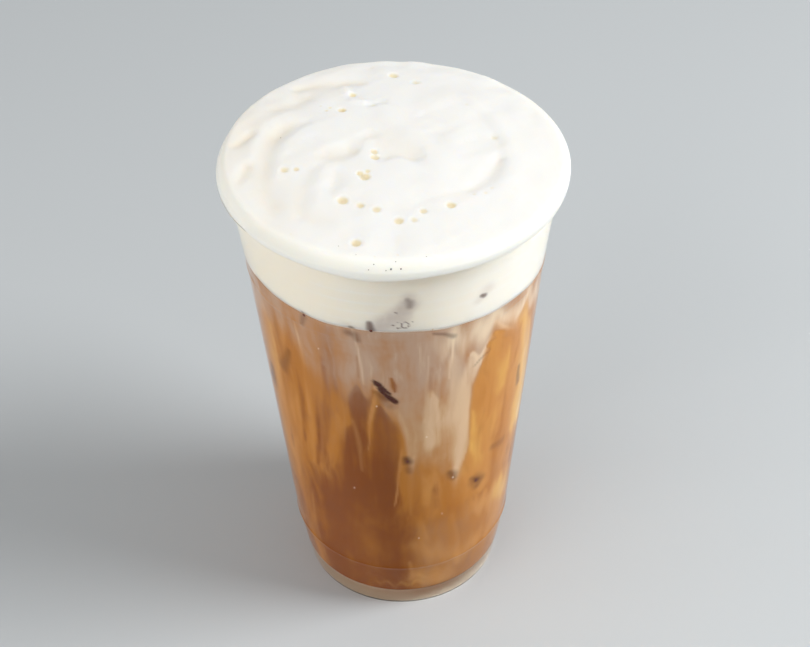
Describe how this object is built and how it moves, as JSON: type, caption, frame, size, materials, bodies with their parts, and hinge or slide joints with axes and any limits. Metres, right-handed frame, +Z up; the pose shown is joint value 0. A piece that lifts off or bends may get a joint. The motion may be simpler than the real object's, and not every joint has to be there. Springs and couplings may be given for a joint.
{
  "type": "iced coffee",
  "caption": "Tall clear plastic cup of iced milky coffee, filled to a rolled rim with a thick, softly swirled layer of white cream foam.",
  "frame": {"origin": "middle of the cup's foot, on the surface that it stands on", "axes": "+Z up along the cup's axis; -Y faces the pictured front and +X is the pictured right"},
  "size_m": [0.098, 0.098, 0.1594],
  "materials": {
    "clear_plastic": "clear gloss",
    "coffee": "milky brown, wet",
    "cream_foam": "soft satin"
  },
  "bodies": {
    "root": {"cup": "clear_plastic", "coffee": "coffee", "foam": "cream_foam"}
  },
  "joints": []
}
